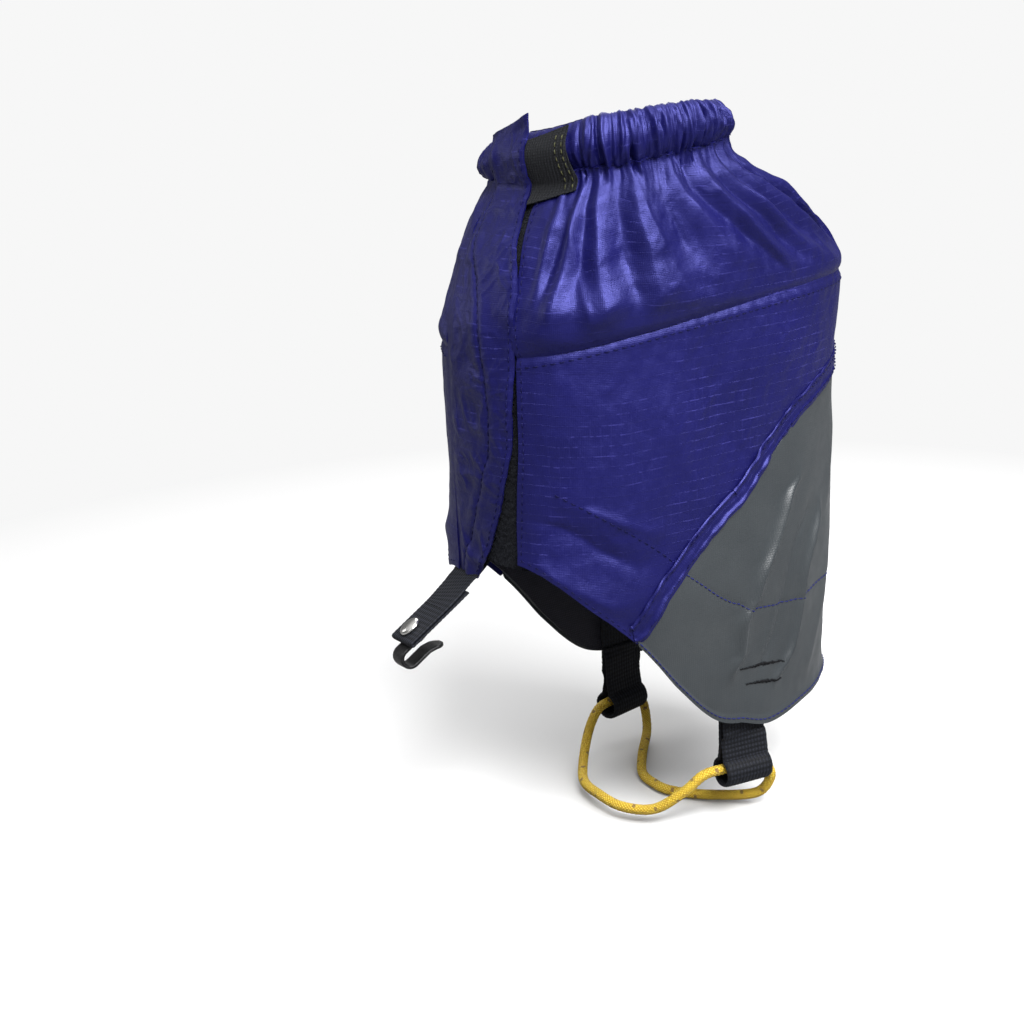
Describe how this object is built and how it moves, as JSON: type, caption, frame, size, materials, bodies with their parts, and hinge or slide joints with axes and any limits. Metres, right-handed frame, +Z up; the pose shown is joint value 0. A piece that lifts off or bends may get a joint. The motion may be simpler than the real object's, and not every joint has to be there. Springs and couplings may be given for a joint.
{
  "type": "ankle gaiter",
  "caption": "Ankle gaiter worn over a hiking boot: gathered collar, front flap closure, coated heel patch, lace hook and cord stirrup.",
  "frame": {"origin": "on the ground under the middle of the gaiter's bounding box, as it stands when worn", "axes": "+Z up the leg, -Y towards the toe, +X towards the other foot"},
  "size_m": [0.1046, 0.1956, 0.2802],
  "materials": {
    "ripstop": "blue ripstop nylon with a soft satin coating",
    "coated_cloth": "grey coated plain-weave cloth, nearly matt",
    "lining": "dark uncoated lining",
    "elastic": "ribbed knitted elastic",
    "closure_tape": "black hook and loop tape, matt",
    "webbing": "black ribbed webbing, matt",
    "thread": "black thread",
    "cord": "yellow braided cord with grey flecks",
    "black_steel": "black painted steel",
    "nickel": "bright nickel plate with fine scratches"
  },
  "bodies": {
    "shell": {"upper_panel": "ripstop", "lower_panel": "ripstop", "heel_patch": "coated_cloth", "hem_facing": "lining", "collar_casing": "ripstop", "collar_elastic": "elastic", "collar_tape_patch": "closure_tape", "loop_tape": "closure_tape", "side_loop_tail_medial": "webbing", "side_loop_tail_lateral": "webbing", "bartack_medial_upper": "thread", "bartack_medial_lower": "thread", "bartack_lateral_upper": "thread", "bartack_lateral_lower": "thread"},
    "flap_lower": {"front_flap_lower": "ripstop", "hook_tape_lower": "closure_tape"},
    "flap_upper": {"front_flap_upper": "ripstop", "hook_tape_upper": "closure_tape"},
    "lace_tab": {"lace_tab": "webbing", "rivet_cap": "nickel", "rivet_post": "nickel"},
    "lace_hook": {"lace_hook": "black_steel"},
    "stirrup": {"side_loop_medial": "webbing", "side_loop_lateral": "webbing"},
    "instep_cord": {"instep_cord": "cord"}
  },
  "joints": [
    {"name": "flap_open", "type": "hinge", "parent": "shell", "child": "flap_lower", "pos_m": [-0.013, -0.06438, 0.12], "axis": [0, 0, -1], "range_deg": [0, 120]},
    {"name": "flap_bend", "type": "hinge", "parent": "flap_lower", "child": "flap_upper", "pos_m": [-0.013, -0.06438, 0.1992], "axis": [0.8639, -0.4989, 0.069], "range_deg": [0, 27.5]},
    {"name": "lace_tab_swing", "type": "hinge", "parent": "shell", "child": "lace_tab", "pos_m": [-0.005, -0.06347, 0.11133], "axis": [0.9848, -0.092, 0.1473], "range_deg": [-45, 50]},
    {"name": "hook_swivel", "type": "hinge", "parent": "lace_tab", "child": "lace_hook", "pos_m": [-0.005, -0.08891, 0.09543], "axis": [-0.1737, -0.5219, 0.8352], "range_deg": [-30, 30]},
    {"name": "stirrup_swing", "type": "hinge", "parent": "shell", "child": "stirrup", "pos_m": [0, 0.02803, 0.03983], "axis": [1, 0, 0], "range_deg": [-10, 10]},
    {"name": "cord_slide", "type": "slide", "parent": "stirrup", "child": "instep_cord", "axis": [0, 1, 0], "range_m": [-0.002, 0.002]}
  ],
  "couplings": [
    {"joint": "flap_bend", "follows": "flap_open", "ratio": 0.226}
  ]
}
